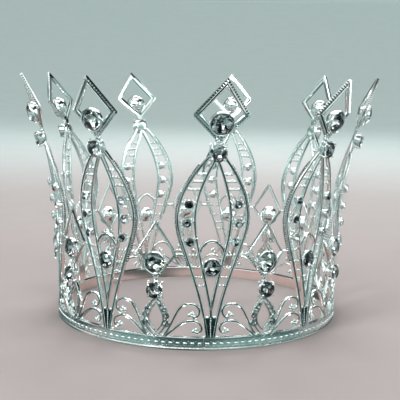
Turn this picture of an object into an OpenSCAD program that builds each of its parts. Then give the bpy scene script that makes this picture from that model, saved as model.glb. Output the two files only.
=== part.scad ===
// Full-round openwork crown. Nine tall spires and nine small drop motifs stand by turns on a
// beaded base band, soldered into one rigid ring and set with round faceted stones.
// The origin is on the ring's axis in the plane of the band's lower edge, +Z is up, and
// spire_1 faces -Y. Each casting is drawn flat, x across and y up, then cut from the wall:
// a thin shell of revolution that stands almost upright and flares out towards the tips.

/* [Base band] */
// Outer diameter of the band
band_outer_d = 130; // [120:1:140]
// Height of the band
band_h = 5.3; // [5:0.1:5.6]
// Thickness of the band
band_t = 2.4; // [2.2:0.1:2.8]
// Depth of the channel that the beads sit in
channel_depth = 0.8; // [0.5:0.1:1.2]
// Diameter of a bead
bead_d = 2.1; // [1.8:0.1:2.3]

/* [Wall] */
// Thickness of the castings
wall_t = 1.5; // [1.2:0.1:1.8]
// How far the tips stand out beyond the foot of the wall
flare = 17; // [14:1:20]
// How far the wall is drawn in at mid height
waist = 0.6; // [0:0.1:2]

/* [Spire] */
// Height of the crown, at the tip of a spire
tip_z = 110; // [106:1:114]
// Height of the kite's side corners
kite_corner_z = 95.6; // [94:0.1:98]
// Height of the kite's lower corner
kite_foot_z = 84.6; // [84:0.1:85.2]
// Half width of the kite
kite_half_w = 11.3; // [10:0.1:12]
// Width of the kite's bar
kite_bar_w = 2.4; // [1.8:0.1:2.8]
// Half width of the two blades together, at their widest
blades_half_w = 13.85; // [13:0.05:14.2]
// Half width of the opening between the blades
opening_half_w = 7.1; // [6.5:0.1:7.5]
// Height where the blades are widest
blades_wide_z = 54; // [52:1:56]
// Width of a blade's rails
rail_w = 1.15; // [0.9:0.05:1.3]
// Width of the beaded edge outside each blade's outer rail
edge_row_w = 0.75; // [0.5:0.05:0.9]
// Height of the top of the arch between the blades
arch_top_z = 45.2; // [44:0.1:47]
// How far a tip leans to the right of the spire's centre line, seen from outside
tip_sway = 3.2; // [0:0.1:4]

/* [Drop motif] */
// Height of the small kite's upper corner
drop_tip_z = 53; // [52:0.5:54]
// Height of the small kite's side corners
drop_corner_z = 39.4; // [39:0.1:40.5]
// Height of the small kite's lower corner
drop_foot_z = 28.3; // [28:0.1:29]
// Half width of the small kite
drop_half_w = 8.8; // [8:0.1:9.2]
// Width of the small kite's bar
drop_bar_w = 1.2; // [1:0.1:1.4]
// Half width of the pointed loop under the small kite
loop_half_w = 6.35; // [6:0.05:6.6]
// Height of the loop's top
loop_top_z = 21.2; // [20.5:0.1:22]
// Width of a scroll's strip
scroll_w = 0.95; // [0.8:0.05:1.1]
// Width of the loop's rails
loop_rail_w = 0.9; // [0.8:0.05:1.1]

/* [Stones] */
// Diameter of the crest stone in each tall kite
crest_d = 8.7; // [8:0.1:9]
// Height of the crest stone's centre
crest_z = 93; // [92.5:0.1:93.5]
// Diameter of the collar stone under each tall kite
collar_d = 6.8; // [6:0.1:7]
// Height of the collar stone's centre
collar_z = 81.5; // [81:0.1:82]
// Diameter of the stone under each arch
arch_d = 7; // [6.5:0.1:7.2]
// Height of the arch stone's centre
arch_stone_z = 34.5; // [34:0.1:35]
// Diameter of the large stone in each small kite
drop_d = 8.2; // [8:0.1:8.5]
// Height of the large stone's centre in each small kite
drop_z = 36; // [35.5:0.1:36.5]
// Diameter of the lower stone of each drop motif
pendant_d = 6.6; // [6:0.1:6.8]
// Height of the lower stone's centre
pendant_z = 24.8; // [24.5:0.1:25]
// Diameter of the stones along the blades
blade_stone_d = 3.3; // [3:0.1:3.4]
// Wall of the tall smooth cups
cup_wall = 0.6; // [0.5:0.05:0.8]
// Wall of the small cups
small_cup_wall = 0.35; // [0.3:0.05:0.5]

/* [Hidden] */
$fn = 48;

spires = 9;
step = 360 / spires;
seam_lag = 2.5;          // degrees from a spire's centre line back to the band's nearest seam
beads = 15;              // beads on one band segment
foot_inset = 0.65;       // from the band's outer face to the wall's middle surface at its foot
flare_power = 3;
cut_angle = 46;          // angle of the slice of wall that a casting is cut from
curve_steps = 8;         // straight stretches along one curve of a drawing
solder = 0.12;           // half the width of the narrowest gap that solder leaves open
silver = [0.88, 0.9, 0.91];
bright = [0.8, 0.84, 0.88];
crystal = [0.75, 0.88, 0.98];

band_outer_r = band_outer_d / 2;
band_inner_r = band_outer_r - band_t;
foot_r = band_outer_r - foot_inset;

blade_stone_zs = [60.5, 52.8, 45];
upper_rung_zs = [72.4, 69.4, 66.2];
lower_rung_zs = [39.3, 34.3, 30.2, 26.7];
edge_row_zs = [33, 77];  // heights between which the outer rails have a beaded edge
blade_stone_inset = 0.4; // from the middle of a blade towards the spire's centre line
sway_from_z = 60;        // height above which a spire leans to one side
sway_power = 1.6;
loop_seats = [[2.2, 18.3, 1.2], [3.6, 16.4, 1.6], [4.5, 13.9, 2.0], [4.2, 10.7, 2.5]];

// ---- the wall ----

// Radius of the wall's middle surface at height z
function wall_r(z) = let (t = z / tip_z) foot_r + flare * pow(t, flare_power) - 4 * waist * t * (1 - t);
// Angle by which the wall leans outwards at height z
function lean(z) = atan(wall_r(z + 0.5) - wall_r(z - 0.5));

// Puts its children on the wall at a drawing's point, with +Z along the wall's outward normal
module on_wall(azimuth, x, z) {
    turn = asin(x / wall_r(z));
    rotate([0, 0, azimuth + turn])
    translate([0, -wall_r(z), z])
    rotate([90 + lean(z), 0, 0])
    children();
}

// The slice of wall that faces -Y, standing on the band
module wall_slice() {
    bands = 10;
    zs = [for (i = [0 : bands]) band_h + (tip_z + 1 - band_h) * i / bands];
    rotate_extrude(angle = cut_angle, start = 270 - cut_angle / 2)
    polygon(concat(
        [for (z = zs) [wall_r(z) - wall_t / 2, z]],
        [for (i = [bands : -1 : 0]) [wall_r(zs[i]) + wall_t / 2, zs[i]]]
    ));
}

// Cuts a flat drawing out of the wall, after solder has closed the narrow gaps in it
module cut_from_wall() {
    intersection() {
        wall_slice();
        rotate([90, 0, 0])
        translate([0, 0, foot_r / 2])
        linear_extrude(height = foot_r)
        offset(delta = -solder)
        offset(delta = solder)
        children();
    }
}

// ---- drawing ----

// Point of a cubic curve with control points p
function bezier(p, t) =
    pow(1 - t, 3) * p[0] + 3 * pow(1 - t, 2) * t * p[1] + 3 * (1 - t) * t * t * p[2] + pow(t, 3) * p[3];
function curve(p) = [for (i = [0 : curve_steps]) bezier(p, i / curve_steps)];
// Two curves, the second starting where the first ends
function curves(p, q) = concat(curve(p), [for (i = [1 : curve_steps]) bezier(q, i / curve_steps)]);
function side(path, i) =
    let (d = path[min(i + 1, len(path) - 1)] - path[max(i - 1, 0)]) [-d.y, d.x] / norm(d);

// A strip of width w along a path
module strip(path, w) {
    n = len(path) - 1;
    polygon(concat(
        [for (i = [0 : n]) path[i] + side(path, i) * w / 2],
        [for (i = [n : -1 : 0]) path[i] - side(path, i) * w / 2]
    ));
}

// The drawing and its mirror image in the motif's centre line
module both_sides() {
    children();
    mirror([1, 0]) children();
}

// A kite-shaped frame, measured over its outer edge, with or without a spire's sway
module kite_frame(top, corner, foot, half_w, bar, swaying = false) {
    upper = norm([half_w, top - corner]);
    lower = norm([half_w, corner - foot]);
    inner_top = top - bar * upper / half_w;
    inner_foot = foot + bar * lower / half_w;
    // The corner of the inner edge is where its upper and lower lines meet
    upper_slope = (top - corner) / half_w;
    lower_slope = (corner - foot) / half_w;
    inner_half = (inner_top - inner_foot) / (upper_slope + lower_slope);
    inner_corner = inner_foot + lower_slope * inner_half;
    outer = [[0, top], [half_w, corner], [0, foot], [-half_w, corner]];
    inner = [[0, inner_top], [inner_half, inner_corner], [0, inner_foot], [-inner_half, inner_corner]];
    difference() {
        polygon([for (p = outer) swaying ? swayed(p) : p]);
        polygon([for (p = inner) swaying ? swayed(p) : p]);
    }
}

// ---- spire ----

outer_upper = [[2.6, 79.9], [6, 75.6], [blades_half_w, 66], [blades_half_w, blades_wide_z]];
outer_lower = [[blades_half_w, blades_wide_z], [blades_half_w, 45], [4.2, 28], [1.3, band_h - 0.5]];
inner_upper = [[0.2, 78.8], [3.5, 72], [opening_half_w, 63], [opening_half_w, blades_wide_z]];
inner_lower = [[opening_half_w, blades_wide_z], [opening_half_w, 45.5], [3.2, 34], [0, 16.2]];
arch_side = [[5.1, 39.6], [4.2, 43.4], [2, arch_top_z], [0, arch_top_z]];

// Sideways shift of a spire at height z
function sway(z) = tip_sway * pow(max(0, z - sway_from_z) / (tip_z - sway_from_z), sway_power);
// One of a spire's points, on side s of its centre line: -1 is left and 1 is right
function swayed(p, s = 1) = [s * p.x + sway(p.y), p.y];

// Half width of a rail at height z, from the curve through it
function rail_x(upper, lower, z) =
    let (path = curves(upper, lower), hit = [for (i = [0 : len(path) - 2])
        if (path[i].y >= z && path[i + 1].y < z) i][0])
    path[hit].x + (path[hit + 1].x - path[hit].x) * (path[hit].y - z) / (path[hit].y - path[hit + 1].y);
function outer_x(z) = rail_x(outer_upper, outer_lower, z);
function inner_x(z) = rail_x(inner_upper, inner_lower, z);
function blade_stone_x(z) = (outer_x(z) + inner_x(z)) / 2 - blade_stone_inset;

// A strip along a path on side s of the spire
module rail(path, s) {
    strip([for (p = path) swayed(p, s)], rail_w);
}
// The beaded edge that runs along the outer rail on side s
module edge_row(s) {
    out = (rail_w + edge_row_w) / 2 - 0.05;
    strip([
        for (p = curves(outer_upper, outer_lower))
        if (p.y > edge_row_zs[0] && p.y < edge_row_zs[1]) swayed([p.x + out, p.y], s)
    ], edge_row_w + 0.1);
}
// A bar from rail to rail across the blade on side s
module rung(z, w, s) {
    strip([swayed([inner_x(z), z], s), swayed([outer_x(z), z], s)], w);
}

module spire_drawing() {
    $fn = 16;
    foot_flat = 13.5;    // the foot is solid up to here
    for (s = [-1, 1]) {
        rail(curves(outer_upper, outer_lower), s);
        edge_row(s);
        rail(curves(inner_upper, inner_lower), s);
        rail(curve(arch_side), s);
        for (z = upper_rung_zs) rung(z, 1.2, s);
        for (z = blade_stone_zs) rung(z, 1.1, s);
        for (z = lower_rung_zs) rung(z, 1.25, s);
    }
    foot_half_w = outer_x(foot_flat);
    polygon([
        [-foot_half_w, foot_flat], [foot_half_w, foot_flat], [1.4, band_h - 1], [-1.4, band_h - 1]
    ]);
    // The inner rails meet and run down to the foot as one
    translate([-0.6, foot_flat - 0.5]) square([1.2, 3.8]);
    translate(swayed([0, collar_z])) circle(d = collar_d);
    kite_frame(tip_z, kite_corner_z, kite_foot_z, kite_half_w, kite_bar_w, true);
    translate(swayed([0, kite_foot_z + 1.2])) circle(r = 1.6);
}

module spire(n) {
    azimuth = step * (n - 1);
    color(silver)
    difference() {
        rotate([0, 0, azimuth]) cut_from_wall() spire_drawing();
        on_wall(azimuth, sway(crest_z), crest_z) cup_seat(crest_d + 2 * cup_wall);
        on_wall(azimuth, 0, arch_stone_z) cup_seat(arch_d + 2 * small_cup_wall);
    }
}

// ---- drop motif ----

loop_outer = [[0, loop_top_z], [4, 17.6], [2 * loop_half_w - 4.3, 12.4], [0.2, band_h - 0.5]];
loop_inner = [[0, loop_top_z - 2.2], [2.6, 15.6], [5.4, 11.6], [0, 7]];
scroll_upper_a = [[3, band_h - 0.3], [8.4, 12], [8.2, 19.1], [13.6, 19.1]];
scroll_upper_b = [[13.6, 19.1], [18, 19.1], [19.1, 14.8], [15.2, 13.1]];
scroll_lower_a = [[3.4, band_h - 0.6], [7.6, 8.4], [10.6, 12.1], [14.2, 12.1]];
scroll_lower_b = [[14.2, 12.1], [18.2, 12.1], [20, 8.6], [17.2, 7.2]];

// Three round lobes at the inner end of a scroll
module leaf(x, z) {
    for (lobe = [[-0.9, 0.5], [0.1, 1.2], [0.7, -0.1]])
        translate([x + lobe.x, z + lobe.y]) circle(r = 0.85);
}

module drop_drawing() {
    $fn = 14;
    kite_frame(drop_tip_z, drop_corner_z, drop_foot_z, drop_half_w, drop_bar_w);
    translate([-1, loop_top_z - 0.6]) square([2, drop_foot_z - loop_top_z + 2.2]);
    translate([0, pendant_z]) circle(d = pendant_d * 0.8);
    both_sides() {
        strip(curve(loop_outer), loop_rail_w);
        strip(curve(loop_inner), loop_rail_w);
        for (seat = loop_seats) translate([seat[0], seat[1]]) circle(d = seat[2] + 0.9);
        strip(curves(scroll_upper_a, scroll_upper_b), scroll_w);
        leaf(14.6, 14);
        strip(curves(scroll_lower_a, scroll_lower_b), scroll_w);
        leaf(16.2, 7.4);
    }
    translate([-1.4, band_h - 0.5]) square([2.8, 2.4]);
    translate([-3.8, band_h - 0.5]) square([7.6, 1.3]);
}

module drop_motif(n) {
    azimuth = step * (n - 0.5);
    color(silver)
    difference() {
        rotate([0, 0, azimuth]) cut_from_wall() drop_drawing();
        on_wall(azimuth, 0, drop_z) cup_seat(drop_d + 2 * cup_wall);
    }
}

// ---- band ----

module band_segment(n) {
    start = 270 - seam_lag + step * (n - 1);
    lip = 1;
    slant = 0.3;
    bead_root = 0.4;
    channel_r = band_outer_r - channel_depth;
    color(silver)
    union() {
        rotate_extrude(angle = step, start = start)
        polygon([
            [band_inner_r, 0], [band_outer_r, 0], [band_outer_r, lip], [channel_r, lip + slant],
            [channel_r, band_h - lip - slant], [band_outer_r, band_h - lip],
            [band_outer_r, band_h], [band_inner_r, band_h]
        ]);
        for (i = [0 : beads - 1])
            rotate([0, 0, start + step * (i + 0.5) / beads])
            translate([channel_r - bead_root, 0, band_h / 2])
            rotate([0, 90, 0])
            cylinder(d1 = bead_d, d2 = bead_d * 0.55, h = channel_depth + bead_root);
    }
}

// ---- settings and stones ----

face = wall_t / 2;       // from the wall's middle surface to its front face

// The recess that a cup of diameter d is soldered into, down to the middle of the wall
module cup_seat(d) {
    cylinder(d = d, h = wall_t + 2);
}

// A round cup that holds a stone of diameter d, from the middle of the wall to height rim
module cup(d, wall, rim) {
    floor_t = 0.4;
    difference() {
        cylinder(d = d + 2 * wall, h = rim);
        translate([0, 0, floor_t]) cylinder(d = d, h = rim);
    }
}

// A round brilliant with a flat table, its girdle's middle at height girdle
module stone(d, girdle, pavilion) {
    girdle_t = 0.05 * d;
    translate([0, 0, girdle - girdle_t / 2]) cylinder(d = d, h = girdle_t);
    translate([0, 0, girdle + girdle_t / 2]) cylinder(d1 = d, d2 = 0.58 * d, h = 0.15 * d);
    translate([0, 0, girdle - girdle_t / 2 - pavilion]) cylinder(d1 = 0.12 * d, d2 = d, h = pavilion);
}

// A gallery ring with four claws that bend over a stone of diameter d
module claw_setting(d, girdle) {
    claw_d = 1;
    claw_r = d / 2 + claw_d / 2;
    ring_h = girdle - face - 0.35;
    difference() {
        translate([0, 0, face]) cylinder(d = d + 0.4, h = ring_h);
        translate([0, 0, face - 1]) cylinder(d = d - 1.6, h = ring_h + 2);
    }
    for (a = [45 : 90 : 315])
        rotate([0, 0, a])
        translate([claw_r, 0, face])
        cylinder(d = claw_d, h = girdle - face + 0.9, $fn = 24);
}

// Heights of rims and girdles over the wall's middle surface, and of the blade cups over its face
crest_rim = 2.7;
arch_rim = 1.6;
drop_rim = 2.5;
claw_girdle = 3;
blade_cup_rim = 1.5;
stone_sink = 0.3;        // from a rim down to the girdle's middle
small_stone_sink = 0.1;

module per_spire() { for (n = [0 : spires - 1]) let ($az = step * n) children(); }
module per_motif() { for (n = [0 : spires - 1]) let ($az = step * (n + 0.5)) children(); }
module per_crest() { per_spire() on_wall($az, sway(crest_z), crest_z) children(); }
module per_collar() { per_spire() on_wall($az, sway(collar_z), collar_z) children(); }
module per_arch() { per_spire() on_wall($az, 0, arch_stone_z) children(); }
module per_drop() { per_motif() on_wall($az, 0, drop_z) children(); }
module per_pendant() { per_motif() on_wall($az, 0, pendant_z) children(); }
module per_blade_stone() {
    per_spire()
    for (z = blade_stone_zs) for (s = [-1, 1])
    on_wall($az, s * blade_stone_x(z) + sway(z), z) children();
}

module crest_cups() { color(bright) per_crest() cup(crest_d, cup_wall, crest_rim); }
module crest_stones() { color(crystal) per_crest() stone(crest_d, crest_rim - stone_sink, 2.6); }
module collar_claw_settings() { color(bright) per_collar() claw_setting(collar_d, claw_girdle); }
module collar_stones() { color(crystal) per_collar() stone(collar_d, claw_girdle, 2); }
module arch_cups() { color(bright) per_arch() cup(arch_d, small_cup_wall, arch_rim); }
module arch_stones() { color(crystal) per_arch() stone(arch_d, arch_rim - small_stone_sink, 1.7); }
module drop_cups() { color(bright) per_drop() cup(drop_d, cup_wall, drop_rim); }
module drop_stones() { color(crystal) per_drop() stone(drop_d, drop_rim - stone_sink, 2.4); }
module pendant_claw_settings() { color(bright) per_pendant() claw_setting(pendant_d, claw_girdle); }
module pendant_stones() { color(crystal) per_pendant() stone(pendant_d, claw_girdle, 2); }

// Small cups that stand on the rungs, with a floor
module blade_cups() {
    color(bright)
    per_blade_stone()
    difference() {
        translate([0, 0, face]) cylinder(d = blade_stone_d + 2 * small_cup_wall, h = blade_cup_rim);
        translate([0, 0, face + 0.3]) cylinder(d = blade_stone_d, h = blade_cup_rim);
    }
}
module blade_stones() {
    color(crystal) per_blade_stone() stone(blade_stone_d, face + blade_cup_rim - small_stone_sink, 0.9);
}
module loop_stones() {
    color(crystal)
    per_motif()
    for (seat = loop_seats) for (s = [-1, 1])
    on_wall($az, s * seat[0], seat[1])
    translate([0, 0, face]) cylinder(d1 = seat[2], d2 = 0.6 * seat[2], h = 0.45 * seat[2]);
}

// Short round bars from the small kites' corners to the spires' outer rails
module link_bars() {
    corner_r = wall_r(drop_corner_z);
    from = asin((drop_half_w - 0.5) / corner_r);
    rail_side = outer_x(drop_corner_z) + rail_w / 2 + edge_row_w;
    to = step / 2 - asin((rail_side - 0.15) / corner_r);
    length = 2 * corner_r * sin((to - from) / 2);
    color(silver)
    for (n = [0 : spires - 1]) for (s = [-1, 1])
    rotate([0, 0, step * (n + 0.5) + s * (from + to) / 2])
    translate([-length / 2, -corner_r * cos((to - from) / 2), drop_corner_z])
    rotate([0, 90, 0]) cylinder(d = 1.1, h = length, $fn = 24);
}

band_segment(1);  // band_segment_1
band_segment(2);  // band_segment_2
band_segment(3);  // band_segment_3
band_segment(4);  // band_segment_4
band_segment(5);  // band_segment_5
band_segment(6);  // band_segment_6
band_segment(7);  // band_segment_7
band_segment(8);  // band_segment_8
band_segment(9);  // band_segment_9
spire(1);  // spire_1
spire(2);  // spire_2
spire(3);  // spire_3
spire(4);  // spire_4
spire(5);  // spire_5
spire(6);  // spire_6
spire(7);  // spire_7
spire(8);  // spire_8
spire(9);  // spire_9
drop_motif(1);  // drop_motif_1
drop_motif(2);  // drop_motif_2
drop_motif(3);  // drop_motif_3
drop_motif(4);  // drop_motif_4
drop_motif(5);  // drop_motif_5
drop_motif(6);  // drop_motif_6
drop_motif(7);  // drop_motif_7
drop_motif(8);  // drop_motif_8
drop_motif(9);  // drop_motif_9
crest_cups();
crest_stones();
collar_claw_settings();
collar_stones();
arch_cups();
arch_stones();
drop_cups();
drop_stones();
pendant_claw_settings();
pendant_stones();
blade_cups();
blade_stones();
loop_stones();
link_bars();
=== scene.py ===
import random
from math import asin, atan, atan2, cos, degrees, hypot, pi, radians, sin

import bmesh
import bpy
from mathutils import Matrix, Vector


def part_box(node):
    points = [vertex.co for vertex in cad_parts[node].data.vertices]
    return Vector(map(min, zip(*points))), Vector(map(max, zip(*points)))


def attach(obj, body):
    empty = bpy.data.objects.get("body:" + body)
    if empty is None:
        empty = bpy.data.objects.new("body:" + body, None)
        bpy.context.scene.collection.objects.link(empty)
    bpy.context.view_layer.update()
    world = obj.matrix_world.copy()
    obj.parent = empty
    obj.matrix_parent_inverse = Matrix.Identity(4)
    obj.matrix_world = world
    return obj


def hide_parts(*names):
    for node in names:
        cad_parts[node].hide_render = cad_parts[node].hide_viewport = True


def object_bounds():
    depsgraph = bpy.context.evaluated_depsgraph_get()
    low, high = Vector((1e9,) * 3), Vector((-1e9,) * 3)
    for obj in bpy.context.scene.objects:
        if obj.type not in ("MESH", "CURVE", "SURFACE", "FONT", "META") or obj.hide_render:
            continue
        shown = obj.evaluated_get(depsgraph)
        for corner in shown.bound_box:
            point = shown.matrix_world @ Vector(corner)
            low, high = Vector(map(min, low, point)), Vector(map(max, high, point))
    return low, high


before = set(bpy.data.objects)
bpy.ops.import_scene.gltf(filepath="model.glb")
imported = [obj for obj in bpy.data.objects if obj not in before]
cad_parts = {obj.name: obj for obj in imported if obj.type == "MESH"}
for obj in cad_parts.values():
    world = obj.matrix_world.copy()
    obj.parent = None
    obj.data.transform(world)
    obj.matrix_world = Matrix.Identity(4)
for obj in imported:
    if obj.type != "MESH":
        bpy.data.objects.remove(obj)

# An openwork crown: nine tall spires and nine small drop motifs by turns on a beaded band.
# Shapes are made in millimetres in the frame's axes and turned into metres with MM. A casting
# is drawn flat, x across and z up, and laid on the wall, a shell of revolution that flares
# towards the tips. Depth is measured from the wall's middle surface, outwards.

MM = 0.001
cad_low, cad_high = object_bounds()
rng = random.Random(7)

# ---- dimensions, as in the CAD ----

# heights of the crown and its band, from the frame
tip_z = cad_high.z / MM
band_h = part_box("band_segment_1")[1].z / MM

# spires and motifs by turns, at these angles in degrees from -Y towards +X
spires = 9
step = 360 / spires
spire_turns = [step * n for n in range(spires)]
motif_turns = [step * (n + 0.5) for n in range(spires)]

# the band and the beads in its channel; its seams lie just before the spires
band_outer_r = 65.0
band_inner_r = 62.6
channel_depth = 0.8
bead_d = 2.1
beads = 15
seam_lag = 2.5

# the wall that the castings lie on, and how the tips lean
wall_t = 1.5
face = wall_t / 2
foot_r = band_outer_r - 0.65
flare = 17.0
waist = 0.6
flare_power = 3.0
tip_sway = 3.2
sway_from_z = 60.0
sway_power = 1.6

# castings: kites, blades, arch, loop and scrolls
kite = dict(top=tip_z, corner=95.6, foot=84.6, half_w=11.3)
kite_bar_w = 2.4
blades_half_w = 13.85
opening_half_w = 7.1
blades_wide_z = 54.0
rail_w = 1.15
edge_row_w = 0.75
edge_row_low_z, edge_row_high_z = 33, 77
foot_flat_z = 13.5
rails_meet_z = 17.0
arch_top_z = 45.2
small_kite = dict(top=53.0, corner=39.4, foot=28.3, half_w=8.8)
drop_bar_w = 1.2
loop_half_w = 6.35
loop_top_z = 21.2
loop_rail_w = 0.9
scroll_w = 0.95
leaf_spots = [(14.6, 14), (16.2, 7.4)]

# stones, and the cups and claws that hold them; a rim is a depth from the wall's middle
crest_d, crest_z = 8.7, 93.0
collar_d, collar_z = 6.8, 81.5
arch_d, arch_stone_z = 7.0, 34.5
drop_d, drop_z = 8.2, 36.0
pendant_d, pendant_z = 6.6, 24.8
blade_stone_d = 3.3
cup_wall = 0.6
small_cup_wall = 0.35
crest_rim, arch_rim, drop_rim = 2.7, 1.6, 2.5
claw_girdle = 3.0
blade_rim = face + 1.5

# rows on the blades, and seats of the loop's stones as (x, z, diameter)
blade_stone_zs = [60.5, 52.8, 45.0]
blade_stone_inset = 0.4
upper_rung_zs = [72.4, 69.4, 66.2]
lower_rung_zs = [39.3, 34.3, 30.2, 26.7]
loop_seats = [(2.2, 18.3, 1.2), (3.6, 16.4, 1.6), (4.5, 13.9, 2.0), (4.2, 10.7, 2.5)]

# middle lines as Bezier curves, each from the top down or from the band outwards
outer_rail = [
    [(2.6, 79.9), (6, 75.6), (blades_half_w, 66), (blades_half_w, blades_wide_z)],
    [(blades_half_w, blades_wide_z), (blades_half_w, 45), (4.2, 28), (1.3, band_h - 0.5)],
]
inner_rail = [
    [(0.2, 78.8), (3.5, 72), (opening_half_w, 63), (opening_half_w, blades_wide_z)],
    [(opening_half_w, blades_wide_z), (opening_half_w, 45.5), (3.2, 34), (0, 16.2)],
]
arch_rail = [[(5.1, 39.6), (4.2, 43.4), (2, arch_top_z), (0, arch_top_z)]]
loop_outer = [[(0, loop_top_z), (4, 17.6), (2 * loop_half_w - 4.3, 12.4), (0.2, band_h - 0.5)]]
loop_inner = [[(0, loop_top_z - 2.2), (2.6, 15.6), (5.4, 11.6), (0, 7)]]
scroll_upper = [
    [(3, band_h - 0.3), (8.4, 12), (8.2, 19.1), (13.6, 19.1)],
    [(13.6, 19.1), (18, 19.1), (19.1, 14.8), (15.2, 13.1)],
]
scroll_lower = [
    [(3.4, band_h - 0.6), (7.6, 8.4), (10.6, 12.1), (14.2, 12.1)],
    [(14.2, 12.1), (18.2, 12.1), (20, 8.6), (17.2, 7.2)],
]

# fine work that only the visual pieces have
seam_gap = 0.045
edge_bead_pitch = 1.0
tooth_pitch, tooth_length, tooth_front, tooth_bevel = 1.12, 0.6, 0.62, 0.09
kite_tooth_w, small_kite_tooth_w = 0.96, 0.9
rim_bead_r = 0.42
cup_grain_x, cup_grain_z = 1.55, 1.5

# how much smaller a stone is than the inside of its cup
stone_play, arch_stone_play, blade_stone_play = 0.5, 0.4, 0.45


# ---- the wall ----

def polar(r, a, z):
    """A point at a radius, at an angle in radians from -Y towards +X, and at a height."""
    return Vector((r * sin(a), -r * cos(a), z))


def wall_r(z):
    """The radius of the wall's middle surface."""
    t = z / tip_z
    return foot_r + flare * max(t, 0) ** flare_power - 4 * waist * t * (1 - t)


def lean(z):
    """How far the wall leans outwards, in radians."""
    return atan(wall_r(z + 0.5) - wall_r(z - 0.5))


def sway(z):
    """How far a spire has moved to the side by that height."""
    return tip_sway * (max(0.0, z - sway_from_z) / (tip_z - sway_from_z)) ** sway_power


def seat(x, z, azimuth=0.0):
    """Frame on the wall at a drawing's point: X across, Y up the wall, Z along the outward normal."""
    r = wall_r(z)
    turn = radians(azimuth) + asin(x / r)
    return (
        Matrix.Rotation(turn, 4, "Z")
        @ Matrix.Translation((0, -r, z))
        @ Matrix.Rotation(pi / 2 + lean(z), 4, "X")
    )


def on_wall(x, z, depth=0.0):
    """A drawing's point laid on the wall, at that depth."""
    r = wall_r(z)
    return polar(r + depth * cos(lean(z)), asin(x / r), z - depth * sin(lean(z)))


def bezier(p, t):
    """A point of a curve with two end points and two handles between them."""
    a, b, c, d = (Vector(q) for q in p)
    u = 1 - t
    return u ** 3 * a + 3 * u * u * t * b + 3 * u * t * t * c + t ** 3 * d


def path_of(pieces, steps=18):
    """Points along curves that follow each other."""
    points = [bezier(pieces[0], 0)]
    for piece in pieces:
        points += [bezier(piece, i / steps) for i in range(1, steps + 1)]
    return points


def spread_along(points, pitch):
    """Points about a pitch apart, evenly spread along a path, with their directions."""
    lengths = [(b - a).length for a, b in zip(points, points[1:])]
    total = sum(lengths)
    count = max(1, round(total / pitch))
    found, i, done = [], 0, 0.0
    for k in range(count + 1):
        goal = total * k / count
        while i < len(lengths) - 1 and done + lengths[i] < goal:
            done += lengths[i]
            i += 1
        along = (points[i + 1] - points[i]).normalized()
        found.append((points[i] + along * (goal - done), along))
    return found


def half_width(pieces, z):
    """Where a rail's curve passes height z."""
    points = path_of(pieces, 24)
    for a, b in zip(points, points[1:]):
        if a.y >= z > b.y:
            return a.x + (b.x - a.x) * (a.y - z) / (a.y - b.y)
    return points[-1].x


def blade_stone_x(z):
    """Where a blade's stone sits, a little inside the middle between the rails."""
    return (half_width(outer_rail, z) + half_width(inner_rail, z)) / 2 - blade_stone_inset


def kite_corners(inset, top, corner, foot, half_w):
    """Corners of a kite whose sides lie inset inside its outer edge, from the top and turning."""
    upper = hypot(half_w, top - corner)
    lower = hypot(half_w, corner - foot)
    inner_top = top - inset * upper / half_w
    inner_foot = foot + inset * lower / half_w
    upper_slope = (top - corner) / half_w
    lower_slope = (corner - foot) / half_w
    inner_half = (inner_top - inner_foot) / (upper_slope + lower_slope)
    inner_corner = inner_foot + lower_slope * inner_half
    return [
        Vector((0, inner_top)), Vector((inner_half, inner_corner)),
        Vector((0, inner_foot)), Vector((-inner_half, inner_corner)),
    ]


def swayed(p):
    """A drawing's point moved to the side with the spire's tip."""
    return Vector((p.x + sway(p.y), p.y))


# ---- mesh making ----

class Build:
    """Vertices in millimetres and faces with material numbers, gathered into one object."""

    def __init__(self):
        self.verts, self.faces, self.numbers = [], [], []

    def add(self, verts, faces, numbers=0):
        """Takes one material number for all the faces, or a list with one for each."""
        base = len(self.verts)
        self.verts += verts
        self.faces += [[base + i for i in f] for f in faces]
        self.numbers += numbers if isinstance(numbers, list) else [numbers] * len(faces)

    def mesh(self, name, materials, sharp=38):
        """The finished mesh in metres, smooth except where faces meet at more than that angle."""
        mesh = bpy.data.meshes.new(name)
        mesh.from_pydata([v * MM for v in self.verts], [], self.faces)
        for m in materials:
            mesh.materials.append(m)
        mesh.polygons.foreach_set("material_index", self.numbers)
        made = bmesh.new()
        made.from_mesh(mesh)
        bmesh.ops.recalc_face_normals(made, faces=made.faces)
        made.to_mesh(mesh)
        made.free()
        mesh.shade_smooth()
        mesh.set_sharp_from_angle(angle=radians(sharp))
        mesh.update()
        return mesh


def grid(build, rings, closed_path, dark=()):
    """Joins rings of points, each ring one section, and caps the ends of an open path.

    The section's sides that are listed in dark take the build's second material, the painted shade.
    """
    n = len(rings[0])
    verts = [v for ring in rings for v in ring]
    rows = len(rings)
    faces, numbers = [], []
    for i in range(rows if closed_path else rows - 1):
        j = (i + 1) % rows
        for k in range(n):
            m = (k + 1) % n
            faces.append([i * n + k, i * n + m, j * n + m, j * n + k])
            numbers.append(1 if k in dark else 0)
    if not closed_path:
        faces.append(list(range(n)))
        faces.append([(rows - 1) * n + k for k in range(n)])
        numbers += [0, 0]
    build.add(verts, faces, numbers)


def ribbon(build, points, profile, dark=()):
    """Sweeps a section of (across, depth) points along a drawn path, laid on the wall."""
    rings = []
    for i, p in enumerate(points):
        d = (points[min(i + 1, len(points) - 1)] - points[max(i - 1, 0)]).normalized()
        across = Vector((-d.y, d.x))
        rings.append([on_wall(p.x + across.x * s, p.y + across.y * s, n) for s, n in profile])
    grid(build, rings, False, dark)


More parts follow.
